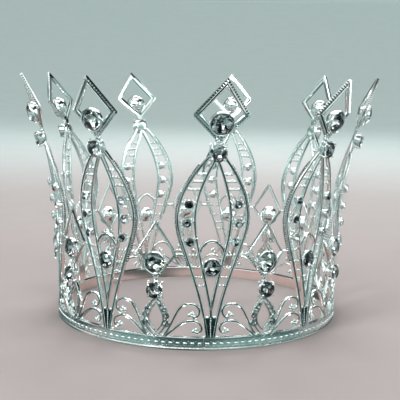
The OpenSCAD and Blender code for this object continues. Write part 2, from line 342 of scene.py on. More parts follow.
def kite_ring(build, profile, shape, swaying, dark=(), stretches=6):
    """Sweeps a section of (inset, depth) points round a kite, with mitred corners."""
    columns = []
    for inset, depth in profile:
        corners = kite_corners(inset, **shape)
        if swaying:
            corners = [swayed(c) for c in corners]
        column = []
        for i, c in enumerate(corners):
            nxt = corners[(i + 1) % 4]
            for k in range(stretches):
                p = c.lerp(nxt, k / stretches)
                column.append(on_wall(p.x, p.y, depth))
        columns.append(column)
    rings = [list(ring) for ring in zip(*columns)]
    grid(build, rings, True, dark)


def ball(build, centre, radius, frame_at=None, scale=(1, 1, 1), around=10, rows=6):
    """A round or flattened bead, its axes those of the frame it sits in."""
    turn = frame_at.to_3x3() if frame_at else Matrix.Identity(3)
    verts = [centre + turn @ Vector((0, 0, radius * scale[2]))]
    for i in range(1, rows):
        a = pi * i / rows
        for k in range(around):
            b = 2 * pi * k / around
            local = (
                radius * scale[0] * sin(a) * cos(b),
                radius * scale[1] * sin(a) * sin(b),
                radius * scale[2] * cos(a),
            )
            verts.append(centre + turn @ Vector(local))
    verts.append(centre - turn @ Vector((0, 0, radius * scale[2])))
    last = len(verts) - 1
    faces = [[0, 1 + k, 1 + (k + 1) % around] for k in range(around)]
    for i in range(rows - 2):
        for k in range(around):
            m = (k + 1) % around
            a, b = 1 + i * around, 1 + (i + 1) * around
            faces.append([a + k, b + k, b + m, a + m])
    start = 1 + (rows - 2) * around
    faces += [[last, start + (k + 1) % around, start + k] for k in range(around)]
    build.add(verts, faces)


def bead(build, x, z, depth, radius, scale=(1, 1, 1), spin=0.0, around=10, rows=6):
    """A bead on the wall, its longer axis turned by spin in the plane of the wall."""
    at = seat(x, z) @ Matrix.Rotation(spin, 4, "Z")
    ball(build, on_wall(x, z, depth), radius, at, scale, around, rows)


def lathe(build, at, outline, steps=40, closed=False):
    """Turns an outline of (radius, height) points about a frame's Z axis.

    An open outline starts and ends on the axis; a closed one goes round to its start.
    """
    verts, rows = [], []
    for r, h in outline:
        if r < 1e-6:
            rows.append([len(verts)])
            verts.append(at @ Vector((0, 0, h)))
        else:
            rows.append([len(verts) + k for k in range(steps)])
            verts += [
                at @ Vector((r * cos(2 * pi * k / steps), r * sin(2 * pi * k / steps), h))
                for k in range(steps)
            ]
    faces = []
    pairs = list(zip(rows, rows[1:])) + ([(rows[-1], rows[0])] if closed else [])
    for a, b in pairs:
        for k in range(steps):
            m = (k + 1) % steps
            if len(a) == 1 and len(b) == 1:
                continue
            if len(a) == 1:
                faces.append([a[0], b[k], b[m]])
            elif len(b) == 1:
                faces.append([a[k], b[0], a[m]])
            else:
                faces.append([a[k], b[k], b[m], a[m]])
    build.add(verts, faces)


def tube(build, points, radii, sides=10):
    """A round wire along points in space, with domed ends."""
    last = len(points) - 1
    directions = [(points[min(i + 1, last)] - points[max(i - 1, 0)]).normalized() for i in range(last + 1)]
    across = directions[0].orthogonal().normalized()
    rings = []
    for p, d, r in zip(points, directions, radii):
        across = (across - d * across.dot(d)).normalized()
        up = d.cross(across)
        rings.append((p, across.copy(), up, d, r))

    def circle(ring, bend=0):
        """The wire's outline at a ring, or on the dome beyond it, at that angle round the dome."""
        p, a, b, d, r = ring
        t = radians(bend)
        turns = [2 * pi * k / sides for k in range(sides)]
        return [p + d * r * sin(t) + (a * cos(u) + b * sin(u)) * r * cos(t) for u in turns]

    rows = [circle(rings[0], bend) for bend in (-75, -50, -25)]
    rows += [circle(ring) for ring in rings]
    rows += [circle(rings[-1], bend) for bend in (25, 50, 75)]
    grid(build, rows, False)


def show(name, mesh, nodes, turn=0.0):
    """Puts a finished mesh in the scene in place of CAD nodes, turned about the crown's axis."""
    if turn:
        mesh = mesh.copy()
        mesh.transform(Matrix.Rotation(radians(turn), 4, "Z"))
    piece = bpy.data.objects.new(name, mesh)
    bpy.context.scene.collection.objects.link(piece)
    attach(piece, "root")
    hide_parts(*nodes)
    return piece


def show_nine(prefix, mesh, node, turns):
    """Puts a copy of a mesh in the scene for each of nine numbered nodes."""
    for n, turn in enumerate(turns, 1):
        show(f"{prefix}_{n}", mesh, [f"{node}_{n}"], turn)


# ---- materials ----

def node_tree(name):
    """A new material, its nodes and its shader."""
    material = bpy.data.materials.new(name)
    material.use_nodes = True
    tree = material.node_tree
    shader = tree.nodes["Principled BSDF"]
    return material, tree, shader


def link(tree, a, out, b, into):
    tree.links.new(a.outputs[out], b.inputs[into])


def noise(tree, scale, detail=3.0, rough=0.55):
    """Noise that stays with the object."""
    place = tree.nodes.new("ShaderNodeTexCoord")
    texture = tree.nodes.new("ShaderNodeTexNoise")
    texture.inputs["Scale"].default_value = scale
    texture.inputs["Detail"].default_value = detail
    texture.inputs["Roughness"].default_value = rough
    link(tree, place, "Object", texture, "Vector")
    return texture


def ramp(tree, source, out, stops):
    """Colours at stops along a number from 0 to 1."""
    made = tree.nodes.new("ShaderNodeValToRGB")
    band = made.color_ramp
    while len(band.elements) < len(stops):
        band.elements.new(0.5)
    for element, (at, colour) in zip(band.elements, stops):
        element.position = at
        element.color = (*colour, 1)
    link(tree, source, out, made, "Fac")
    return made


def grey(v):
    return (v, v, v)


def mixed(tree, a, b, factor=None, blend="MIX"):
    """One colour out of two; factor is an output, and without one the blend is whole."""
    made = tree.nodes.new("ShaderNodeMix")
    made.data_type = "RGBA"
    made.blend_type = blend
    if factor:
        tree.links.new(factor, made.inputs["Factor"])
    else:
        made.inputs["Factor"].default_value = 1.0
    tree.links.new(a, made.inputs["A"])
    tree.links.new(b, made.inputs["B"])
    return made.outputs["Result"]


def product(tree, a, b):
    """Two ramps' colours multiplied."""
    return mixed(tree, a.outputs["Color"], b.outputs["Color"], blend="MULTIPLY")


def seen_or_mirrored(tree, seen, mirrored_colour):
    """One colour for the eye and another for what the crown mirrors."""
    rays = tree.nodes.new("ShaderNodeLightPath")
    return mixed(tree, mirrored_colour, seen, rays.outputs["Is Camera Ray"])


def silver(name, tint, shade, roughest, groove, bump=0.25):
    """Plated metal, its tone and gloss softly uneven, with painted shade darkening its grooves by ambient
    occlusion.
    """
    material, tree, shader = node_tree(name)
    shader.inputs["Metallic"].default_value = 1.0
    wear = noise(tree, 160, 4)
    tone = ramp(tree, wear, "Fac", [(0.35, tint), (0.65, shade)])
    # painted shade: ambient occlusion darkens the base colour to near black in grooves and in the gaps
    # between beads
    occlusion_shade = tree.nodes.new("ShaderNodeAmbientOcclusion")
    occlusion_shade.samples = 6
    occlusion_shade.only_local = True
    occlusion_shade.inputs["Distance"].default_value = groove * MM
    dark = ramp(tree, occlusion_shade, "AO", [(0.2, grey(0.02)), (0.66, grey(1.0))])
    tree.links.new(product(tree, tone, dark), shader.inputs["Base Color"])
    rub = noise(tree, 420, 3)
    matte = ramp(tree, rub, "Fac", [(0.3, grey(0.09)), (0.7, grey(roughest))])
    link(tree, matte, "Color", shader, "Roughness")
    grain = noise(tree, 1500, 3)
    raised = tree.nodes.new("ShaderNodeBump")
    raised.inputs["Strength"].default_value = bump
    raised.inputs["Distance"].default_value = 0.05 * MM
    link(tree, grain, "Fac", raised, "Height")
    link(tree, raised, "Normal", shader, "Normal")
    return material


def crystal(name):
    """Clear cut glass with faint dust that softens a few facets."""
    material, tree, shader = node_tree(name)
    shader.inputs["Transmission Weight"].default_value = 1.0
    shader.inputs["IOR"].default_value = 1.62
    dust = noise(tree, 900, 2)
    soft = ramp(tree, dust, "Fac", [(0.45, grey(0.0)), (0.75, grey(0.05))])
    link(tree, soft, "Color", shader, "Roughness")
    tinge = noise(tree, 130, 1)
    colour = ramp(tree, tinge, "Fac", [(0.4, (1.0, 1.0, 1.0)), (0.62, (0.94, 0.97, 1.0))])
    link(tree, colour, "Color", shader, "Base Color")
    return material


def foil(name):
    """Mirror foil on a stone's back, with painted shade and painted glints: dark and light from facet to
    facet, with a little colour.
    """
    material, tree, shader = node_tree(name)
    shader.inputs["Metallic"].default_value = 1.0
    shader.inputs["Roughness"].default_value = 0.08
    # painted shade and painted glints: the base colour turns near-black or white from facet to facet, with
    # blue and gold flashes
    spread = noise(tree, 620, 0.5)
    colour = ramp(tree, spread, "Fac", [
        (0.23, (0.5, 0.68, 0.98)), (0.28, grey(0.015)), (0.455, grey(0.015)), (0.475, grey(0.98)),
        (0.72, (0.98, 0.98, 0.97)), (0.8, (0.98, 0.85, 0.5)),
    ])
    link(tree, colour, "Color", shader, "Base Color")
    return material


band_silver = silver("band_silver", (0.94, 0.97, 0.96), (0.84, 0.88, 0.87), 0.22, 0.9)
cast_silver = silver("cast_silver", (0.95, 0.98, 0.97), (0.86, 0.9, 0.89), 0.19, 0.7)
# painted shade: a near-black teal silver for grooves, channels, the foot plate and the strips behind
# beaded rows
painted_shade_silver = silver("painted_shade_silver", (0.09, 0.13, 0.125), (0.04, 0.06, 0.06), 0.35, 0.7)
cup_silver = silver("cup_silver", (0.96, 0.98, 0.98), (0.88, 0.91, 0.91), 0.14, 0.6, 0.1)
stone_glass = crystal("stone_glass")
foil_with_painted_sparkle = foil("foil_with_painted_sparkle")


# ---- band ----

def band_mesh():
    """One segment of the band: rims, a channel with cast bezels in it, and butted ends."""
    build = Build()
    channel_r = band_outer_r - channel_depth
    channel_low, channel_high = 1.15, band_h - 1.3
    section = [
        (band_inner_r, 0.25), (band_inner_r + 0.25, 0.0), (band_outer_r - 0.4, 0.0),
        (band_outer_r - 0.15, 0.12), (band_outer_r - 0.12, 0.75), (band_outer_r - 0.3, 1.0),
        (channel_r, channel_low), (channel_r, channel_high), (band_outer_r - 0.25, band_h - 1.2),
        (band_outer_r, band_h - 1.05), (band_outer_r, band_h - 0.8), (band_outer_r - 0.3, band_h - 0.65),
        (band_outer_r - 0.3, band_h - 0.5), (band_outer_r - 0.02, band_h - 0.38),
        (band_outer_r - 0.04, band_h - 0.12), (band_outer_r - 0.16, band_h),
        (band_outer_r - 0.26, band_h), (band_inner_r + 0.35, band_h), (band_inner_r + 0.25, band_h),
        (band_inner_r, band_h - 0.25),
    ]
    stretches = 56
    start = seam_gap - seam_lag
    length = step - 2 * seam_gap
    angles = [radians(start + length * i / stretches) for i in range(stretches + 1)]
    grid(build, [[polar(r, a, z) for r, z in section] for a in angles], False)
    # domed beads in the channel
    middle = (channel_low + channel_high) / 2
    r = bead_d / 2
    bezel = [(r, -0.3), (r, 0.1), (r - 0.04, 0.16), (r - 0.12, 0.14)]
    dome = [radians(b) for b in (12, 26, 40, 54, 68, 80)]
    bezel += [((r - 0.12) * cos(b), 0.14 + 0.64 * sin(b)) for b in dome]
    bezel += [(0.0, 0.78), (0.0, -0.3)]
    for i in range(beads):
        a = radians(-seam_lag + step * (i + 0.5) / beads)
        at = Matrix.Rotation(a, 4, "Z") @ Matrix.Translation((0, -channel_r, middle))
        lathe(build, at @ Matrix.Rotation(pi / 2, 4, "X"), bezel, 20)
        if i == beads - 1:
            break
        # two grains between one domed bead and the next
        b = a + radians(step / beads / 2)
        for z in (middle - 0.95, middle + 0.95):
            ball(build, polar(channel_r, b, z), 0.3)
    # the beaded lower rim
    rim_beads = 2 * beads
    for i in range(rim_beads):
        a = radians(-seam_lag + step * (i + 0.5) / rim_beads)
        spot = polar(band_outer_r - rim_bead_r, a, 0.5)
        ball(build, spot, rim_bead_r, Matrix.Rotation(a, 4, "Z"), (1.55, 1.0, 1.05), 12, 8)
    return build.mesh("band_segment", [band_silver])


show_nine("band", band_mesh(), "band_segment", spire_turns)


# ---- spires ----

# the sides of rail_section that are its groove, which take the painted shade
groove_sides = (10, 11, 12)


def rail_section(width, back=-face, front=face, groove=0.25):
    """A bar's section: a round rib along each edge and a sunk groove between them."""
    w = width / 2
    rib = width * 0.38
    half = [
        (w, front - 0.4), (w - 0.03, front - 0.16), (w - rib * 0.3, front - 0.03),
        (w - rib * 0.55, front), (w - rib * 0.85, front - 0.06), (w - rib, front - groove),
    ]
    return (
        [(-w, back + 0.2), (-w + 0.08, back + 0.06), (-w + 0.22, back)]
        + [(w - 0.22, back), (w - 0.08, back + 0.06), (w, back + 0.2)]
        + half + [(-x, y) for x, y in reversed(half)]
    )


def on_side(points, side):
    """A middle line on the spire's right (1) or left (-1), leaning with the tip."""
    return [Vector((side * p.x + sway(p.y), p.y)) for p in points]


def rung(build, z, side, radius, bar=0.3):
    """A row of cast beads across a blade, as deep as the blade, on a thin bar."""
    a = half_width(inner_rail, z)
    b = half_width(outer_rail, z)
    ends = [Vector((side * x + sway(z), z)) for x in (a, b)]
    w = bar / 2
    section = [(-w, -0.5), (w, -0.5), (w, -0.1), (0, 0.0), (-w, -0.1)]
    ribbon(build, [ends[0].lerp(ends[1], t / 3) for t in range(4)], section)
    clear = b - a - rail_w
    count = max(2, round(clear / (2.3 * radius)))
    for i in range(count):
        x = a + rail_w / 2 + clear * (i + 0.5) / count
        bead(build, side * x + sway(z), z, 0.05, radius, (1, 1, 0.7 / radius), 0, 14, 9)


def tooth(build, x, z, width, spin):
    """A small block on the wall with bevelled top edges, its length turned by spin."""
    at = seat(x, z) @ Matrix.Rotation(spin, 4, "Z")
    verts = []
    for inset, depth in ((0, -0.5), (0, tooth_front - tooth_bevel), (tooth_bevel, tooth_front)):
        a, b = tooth_length / 2 - inset, width / 2 - inset
        verts += [at @ Vector((u * a, v * b, depth)) for u, v in ((-1, -1), (1, -1), (1, 1), (-1, 1))]
    faces = [[3, 2, 1, 0], [8, 9, 10, 11]]
    for k in range(4):
        m = (k + 1) % 4
        faces += [[k, m, 4 + m, 4 + k], [4 + k, 4 + m, 8 + m, 8 + k]]
    build.add(verts, faces)


def teeth(build, corners, width):
    """A row of milled teeth round a kite."""
    for i in range(len(corners)):
        a, b = corners[i], corners[(i + 1) % len(corners)]
        along = b - a
        count = max(1, round(along.length / tooth_pitch))
        spin = atan2(along.y, along.x)
        for k in range(count):
            p = a.lerp(b, (k + 0.5) / count)
            tooth(build, p.x, p.y, width, spin)


def blade(build, side):
    """Half of the blades: two rails, half the arch, a beaded edge, rungs, and grains by the cups."""
    rail = rail_section(rail_w)
    outer = on_side(path_of(outer_rail), side)
    inner = on_side(path_of(inner_rail), side)
    ribbon(build, outer, rail, groove_sides)
    ribbon(build, inner, rail, groove_sides)
    arch = on_side(path_of(arch_rail), side)
    ribbon(build, arch, rail_section(rail_w * 0.95, -face, face - 0.05), groove_sides)
    # the beaded edge outside the outer rail, on a strip whose front takes the painted shade
    offset = Vector((side * (rail_w + edge_row_w) / 2, 0))
    edge = [q + offset for q in outer if edge_row_low_z < q.y < edge_row_high_z]
    w = edge_row_w / 2
    strip = [(-w, -face + 0.1), (w - 0.12, -face + 0.1), (w - 0.12, -0.3), (-w, -0.2)]
    ribbon(build, edge, strip, (2,))
    for p, along in spread_along(edge, edge_bead_pitch):
        spin = atan2(along.y, along.x)
        bead(build, p.x, p.y, 0.12, 0.43, (0.72, 0.95, 1.3), spin, 12, 8)
    for z in upper_rung_zs:
        rung(build, z, side, 0.7)
    for z in blade_stone_zs:
        rung(build, z, side, 0.3, 0.9)
        # corner grains that hold the blade's cups between the rails
        for dx in (-1, 1):
            for dz in (-1, 1):
                x = side * blade_stone_x(z) + sway(z) + dx * cup_grain_x
                bead(build, x, z + dz * cup_grain_z, 0.55, 0.36)
    for z in lower_rung_zs:
        rung(build, z, side, 0.52)


def foot(build):
    """The inner rails run down as one to a deep-set plate, its front in painted shade, with a row of beads
    down its middle.
    """
    ribbon(build, [Vector((0, rails_meet_z - t)) for t in range(5)], rail_section(1.1), groove_sides)
    rings = []
    for t in range(6):
        z = foot_flat_z + 0.2 - (foot_flat_z - band_h + 0.7) * t / 5
        w = half_width(outer_rail, max(z, band_h)) + 0.05
        section = [(-w, -face + 0.1), (w, -face + 0.1), (w, -0.2), (-w, -0.2)]
        rings.append([on_wall(x, z, d) for x, d in section])
    grid(build, rings, False, (2,))
    for k in range(8):
        bead(build, 0, band_h + 0.6 + k * 1.05, 0.12, 0.5, (0.9, 0.98, 1.2), 0, 12, 8)
    for side in (-1, 1):
        bead(build, side * 1.5, foot_flat_z + 0.15, 0.3, 0.72, (1.0, 0.85, 0.75), 0, 14, 9)
        bead(build, side * 2.6, band_h + 0.35, 0.2, 0.55, (1.5, 0.8, 0.9))


def tall_kite(build):
    """From its outer edge inwards: teeth in a channel, a flat, a groove and a rib; the channel and the
    groove are in painted shade.
    """
    w = kite_bar_w
    # sides 8 and 9 are the groove, 12 and 13 the channel
    kite_ring(build, [
        (0.3, -0.62), (0.45, -face), (w - 0.3, -face), (w - 0.12, -0.62), (w, 0.2),
        (w - 0.06, 0.42), (w - 0.26, 0.6), (w - 0.5, 0.52), (w - 0.66, 0.3), (w - 0.72, -0.3),
        (w - 0.85, -0.3), (w - 0.92, -0.12), (1.02, -0.06), (0.96, -0.45), (0.3, -0.42),
    ], kite, True, (8, 9, 12, 13))
    teeth(build, [swayed(c) for c in kite_corners(0.52, **kite)], kite_tooth_w)


def throat(build):
    """The plate behind the collar stone, rows of beads above it, and a knot in the kite's corner."""
    at = seat(sway(collar_z), collar_z)
    r = collar_d / 2
    lathe(build, at, [
        (0, -face), (r * 0.55, -face), (r * 0.85, -face + 0.2), (r, -0.1),
        (r, face - 0.15), (r - 0.2, face), (0, face),
    ], 36)
    for dz, w in ((3.9, 1.5), (4.9, 1.9), (5.9, 2.3)):
        z = collar_z + dz
        for i in (-1, 0, 1):
            bead(build, sway(z) + i * w / 2, z, 0.35, 0.42)
    z = kite["foot"] + 1.2
    knot = [(0, -face), (1.3, -face), (1.6, -face + 0.3), (1.6, 0.1), (1.4, 0.3), (0, 0.3)]
    lathe(build, seat(sway(z), z), knot, 24)


def spire_mesh():
    """One spire's casting."""
    build = Build()
    for side in (-1, 1):
        blade(build, side)
    foot(build)
    tall_kite(build)
    throat(build)
    return build.mesh("spire", [cast_silver, painted_shade_silver])


show_nine("spire_casting", spire_mesh(), "spire", spire_turns)


# ---- drop motifs ----

def leaf(build, x, z, side):
    """Three round lobes at the inner end of a scroll, with a grain where they meet."""
    for dx, dz in ((-0.9, 0.5), (0.1, 1.2), (0.7, -0.1)):
        bead(build, side * (x + dx), z + dz, 0.0, 0.86, (1, 1, 0.85), 0, 12, 8)
    bead(build, side * (x - 0.05), z + 0.5, 0.55, 0.42)


def short_kite(build):
    """A thin kite with teeth along its outer edge, in a channel in painted shade."""
    w = drop_bar_w
    # sides 8 and 9 are the channel
    kite_ring(build, [
        (0.16, -0.6), (0.3, -face), (w - 0.2, -face), (w - 0.05, -0.6), (w, 0.15), (w - 0.12, 0.34),
        (w - 0.26, 0.3), (w - 0.34, 0.1), (0.5, -0.25), (0.34, -0.3), (0.16, -0.4),
    ], small_kite, False, (8, 9))
    teeth(build, kite_corners(0.5, **small_kite), small_kite_tooth_w)


def loop_and_scrolls(build, side):
    """Half of the pointed loop with its stones' seats, and the two scrolls beside it."""
    def flip(points):
        return [Vector((side * p.x, p.y)) for p in points]

    rail = rail_section(loop_rail_w * 0.9)
    inner = rail_section(loop_rail_w * 0.8, -face, face - 0.15)
    scroll = rail_section(scroll_w, -face, face - 0.05, 0.2)
    ribbon(build, flip(path_of(loop_outer, 26)), rail, groove_sides)
    ribbon(build, flip(path_of(loop_inner, 22)), inner)
    for x, z, d in loop_seats:
        at = seat(side * x, z)
        r = d / 2
        lathe(build, at, [
            (0, -0.5), (r * 0.7, -0.5), (r + 0.28, -0.1), (r + 0.32, face - 0.1),
            (r + 0.24, face + 0.1), (r + 0.04, face + 0.1), (r, face - 0.35), (0, face - 0.4),
        ], 20)
        bead(build, side * (x + 0.62 * r), z + r + 0.25, 0.5, 0.26)
    ribbon(build, flip(path_of(scroll_upper, 22)), scroll, groove_sides)
    ribbon(build, flip(path_of(scroll_lower, 22)), scroll, groove_sides)
    for x, z in leaf_spots:
        leaf(build, x, z, side)
    # grains where loop and scrolls spring from the band, and one on the upper scroll's top
    bead(build, side * 3.2, band_h + 0.5, 0.25, 0.6, (1.4, 0.8, 0.9))
    bead(build, side * 1.2, band_h + 0.45, 0.25, 0.55, (1.4, 0.8, 0.9))
    bead(build, side * 13.2, 19.15, 0.45, 0.5)


def stem(build):
    """A bar from the kite's lower corner to the loop's top, with the plate behind the pendant."""
    middle_line = [Vector((0, small_kite["foot"] + 1.4 - t * 2.0)) for t in range(6)]
    ribbon(build, middle_line, rail_section(2.0, -face, 0.3))
    z = small_kite["foot"]
    for dz, w in ((0.2, 0.0), (1.5, 1.3)):
        for i in (-1, 1):
            bead(build, i * w / 2, z + dz, 0.4, 0.42)
    at = seat(0, pendant_z)
    r = pendant_d * 0.4
    lathe(build, at, [(0, -face), (r - 0.4, -face), (r, -0.3), (r, 0.5), (r - 0.2, face), (0, face)], 32)


def motif_mesh():
    """One drop motif's casting."""
    build = Build()
    short_kite(build)
    for side in (-1, 1):
        loop_and_scrolls(build, side)
    stem(build)
    return build.mesh("drop_motif", [cast_silver, painted_shade_silver])


show_nine("motif_casting", motif_mesh(), "drop_motif", motif_turns)


# ---- settings ----

def cup(build, at, d, wall, rim, back, bulge):
    """A smooth bowl with a rolled rim and a seat for the stone's girdle."""
    r = d / 2
    outer = r + wall
    top = rim - 0.3
    depth = top - (back - bulge)
    angles = [radians(a) for a in (0, 12, 24, 36, 48, 58, 68, 78)]
    lathe(build, at, [(outer * sin(a), top - depth * cos(a)) for a in angles] + [
        (outer, top), (outer - 0.05, rim - 0.1), (outer - 0.2, rim), (outer - 0.4, rim - 0.04),
        (r + 0.02, rim - 0.22), (r, rim - 0.6), (r * 0.5, back), (0, back - bulge + 0.4),
    ], 48)


def claws(build, at, d, girdle):
    """A gallery ring with four claws bent over the stone, and a small open loop beside each claw."""
    r = d / 2
    top = girdle - 0.35
    lathe(build, at, [
        (r - 0.7, face - 0.1), (r - 0.45, face + 0.05), (r - 0.4, face + 0.3),
        (r - 0.55, face + 0.5), (r - 0.3, top - 0.6), (r + 0.14, top - 0.4), (r + 0.22, top - 0.18),
        (r + 0.1, top), (r - 0.25, top), (r - 0.95, face + 0.7), (r - 0.95, face - 0.1),
    ], 40, closed=True)
    for a in range(45, 360, 90):
        turn = at @ Matrix.Rotation(radians(a), 4, "Z")
        steps = [
            (r - 0.1, face - 0.2), (r + 0.15, face + 0.8), (r + 0.42, girdle - 0.3),
            (r + 0.42, girdle + 0.15), (r + 0.12, girdle + 0.5), (r - 0.35, girdle + 0.72),
        ]
        tube(build, [turn @ Vector((x, 0, z)) for x, z in steps], [0.5, 0.44, 0.42, 0.42, 0.44, 0.4])
        angles = [2 * pi * k / 14 for k in range(15)]
        ring = [turn @ Vector((r + 0.75 + 0.45 * cos(b), 0.45 * sin(b), face + 0.35)) for b in angles]
        tube(build, ring, [0.22] * len(ring), 8)


def group(name, node, materials, turns, maker, sharp=38):
    """One piece with a copy of a setting or stone at each of the turns."""
    build = Build()
    for turn in turns:
        maker(build, turn)
    return show(name, build.mesh(name, materials, sharp), [node])


def crest_seat(turn):
    return seat(sway(crest_z), crest_z, turn)


def collar_seat(turn):
    return seat(sway(collar_z), collar_z, turn)


def blade_seats(turn):
    """Seats of a spire's six blade stones, from the top down."""
    sides = [(z, side) for z in blade_stone_zs for side in (-1, 1)]
    return [seat(side * blade_stone_x(z) + sway(z), z, turn) for z, side in sides]


def link_bar(build, turn):
    """Short bars from a small kite's side corners to the outer rails next to it."""
    z = small_kite["corner"]
    r = wall_r(z)
    start = degrees(asin((small_kite["half_w"] - 0.5) / r))
    rail_side = half_width(outer_rail, z) + rail_w / 2 + edge_row_w
    end = step / 2 - degrees(asin((rail_side - 0.15) / r))
    for side in (-1, 1):
        angles = [radians(turn + side * (start + (end - start) * k / 6)) for k in range(7)]
        tube(build, [polar(r, a, z) for a in angles], [0.5, 0.6, 0.52, 0.52, 0.52, 0.62, 0.5], 12)


def small_cup(build, at):
    """A small round cup on a blade, domed behind."""
    r = blade_stone_d / 2
    outer = r + small_cup_wall
    lathe(build, at, [
        (0, -face - 0.1), (outer * 0.45, -face), (outer * 0.68, -face + 0.35), (outer - 0.45, 0.0),
        (outer, blade_rim - 0.15), (outer - 0.1, blade_rim), (r, blade_rim - 0.05),
        (r, blade_rim - 0.5), (r * 0.5, face), (0, face - 0.1),
    ], 28)


group("crest_cup_ring", "crest_cups", [cup_silver], spire_turns,
      lambda b, t: cup(b, crest_seat(t), crest_d, cup_wall, crest_rim, -face, 1.6))
group("collar_claws", "collar_claw_settings", [cup_silver], spire_turns,
      lambda b, t: claws(b, collar_seat(t), collar_d, claw_girdle))
group("arch_cup_ring", "arch_cups", [cup_silver], spire_turns,
      lambda b, t: cup(b, seat(0, arch_stone_z, t), arch_d, small_cup_wall, arch_rim, -face, 0.9))
group("drop_cup_ring", "drop_cups", [cup_silver], motif_turns,
      lambda b, t: cup(b, seat(0, drop_z, t), drop_d, cup_wall, drop_rim, -face, 1.4))
group("pendant_claws", "pendant_claw_settings", [cup_silver], motif_turns,
      lambda b, t: claws(b, seat(0, pendant_z, t), pendant_d, claw_girdle))
group("blade_cup_ring", "blade_cups", [cup_silver], spire_turns,
      lambda b, t: [small_cup(b, at) for at in blade_seats(t)])
group("link_bar_ring", "link_bars", [cast_silver], motif_turns, link_bar)


# ---- stones ----

def brilliant(build, at, d, girdle, pavilion, folds=8):
    """A round brilliant: table, stars, kites and girdle facets in glass, and a foiled pavilion."""
    r = d / 2
    turn = at @ Matrix.Rotation(rng.uniform(0, 2 * pi / folds), 4, "Z")
    crown = 0.15 * d
    half_girdle = 0.025 * d

    def at_angle(radius, k, h):
        a = 2 * pi * k / (2 * folds)
        return turn @ Vector((radius * cos(a), radius * sin(a), h))

    n = 2 * folds
    table = [at_angle(0.56 * r, 2 * i, girdle + half_girdle + crown) for i in range(folds)]
    stars = [at_angle(0.8 * r, 2 * i + 1, girdle + half_girdle + 0.58 * crown) for i in range(folds)]
    upper = [at_angle(r, k, girdle + half_girdle) for k in range(n)]
    lower = [at_angle(r, k, girdle - half_girdle) for k in range(n)]
    mains = [at_angle(0.3 * r, 2 * i + 1, girdle - half_girdle - 0.74 * pavilion) for i in range(folds)]
    tip = [turn @ Vector((0, 0, girdle - half_girdle - pavilion))]
    verts = table + stars + upper + lower + mains + tip
    t, s, u, w, m = 0, folds, 2 * folds, 2 * folds + n, 2 * folds + 2 * n
    c = m + folds
    glass = [list(range(folds))]
    back = []
    for i in range(folds):
        j = (i + 1) % folds
        p = (i - 1) % folds
        glass.append([t + i, s + i, t + j])
        glass.append([t + i, s + p, u + 2 * i, s + i])
        glass.append([s + i, u + 2 * i, u + 2 * i + 1])
        glass.append([s + i, u + 2 * i + 1, u + (2 * i + 2) % n])
        back.append([m + i, w + 2 * i + 1, w + 2 * i])
        back.append([m + i, w + (2 * i + 2) % n, w + 2 * i + 1])
        back.append([c, m + i, w + 2 * i, m + p])
    for k in range(n):
        q = (k + 1) % n
        glass.append([u + k, w + k, w + q, u + q])
    build.add(verts, glass + back, [0] * len(glass) + [1] * len(back))


def stones(name, node, turns, maker):
    """One piece of glass and foil; the angle of 1 degree keeps every facet flat."""
    group(name, node, [stone_glass, foil_with_painted_sparkle], turns, maker, 1)


stones("crest_stone_ring", "crest_stones", spire_turns,
       lambda b, t: brilliant(b, crest_seat(t), crest_d - stone_play, crest_rim - 0.3, 3.0))
stones("collar_stone_ring", "collar_stones", spire_turns,
       lambda b, t: brilliant(b, collar_seat(t), collar_d, claw_girdle, 2.3))
stones("arch_stone_ring", "arch_stones", spire_turns,
       lambda b, t: brilliant(b, seat(0, arch_stone_z, t), arch_d - arch_stone_play, arch_rim - 0.1, 2.3))
stones("drop_stone_ring", "drop_stones", motif_turns,
       lambda b, t: brilliant(b, seat(0, drop_z, t), drop_d - stone_play, drop_rim - 0.3, 2.8))
stones("pendant_stone_ring", "pendant_stones", motif_turns,
       lambda b, t: brilliant(b, seat(0, pendant_z, t), pendant_d, claw_girdle, 2.2))
stones("blade_stone_ring", "blade_stones", spire_turns,
       lambda b, t: [
           brilliant(b, at, blade_stone_d - blade_stone_play, blade_rim - 0.12, 1.2, 6)
           for at in blade_seats(t)
       ])
stones("loop_stone_ring", "loop_stones", motif_turns,
       lambda b, t: [
           brilliant(b, seat(side * x, z, t), 0.86 * d, face + 0.14, 0.28 * d, 6)
           for x, z, d in loop_seats for side in (-1, 1)
       ])


# ---- floor, light and camera ----

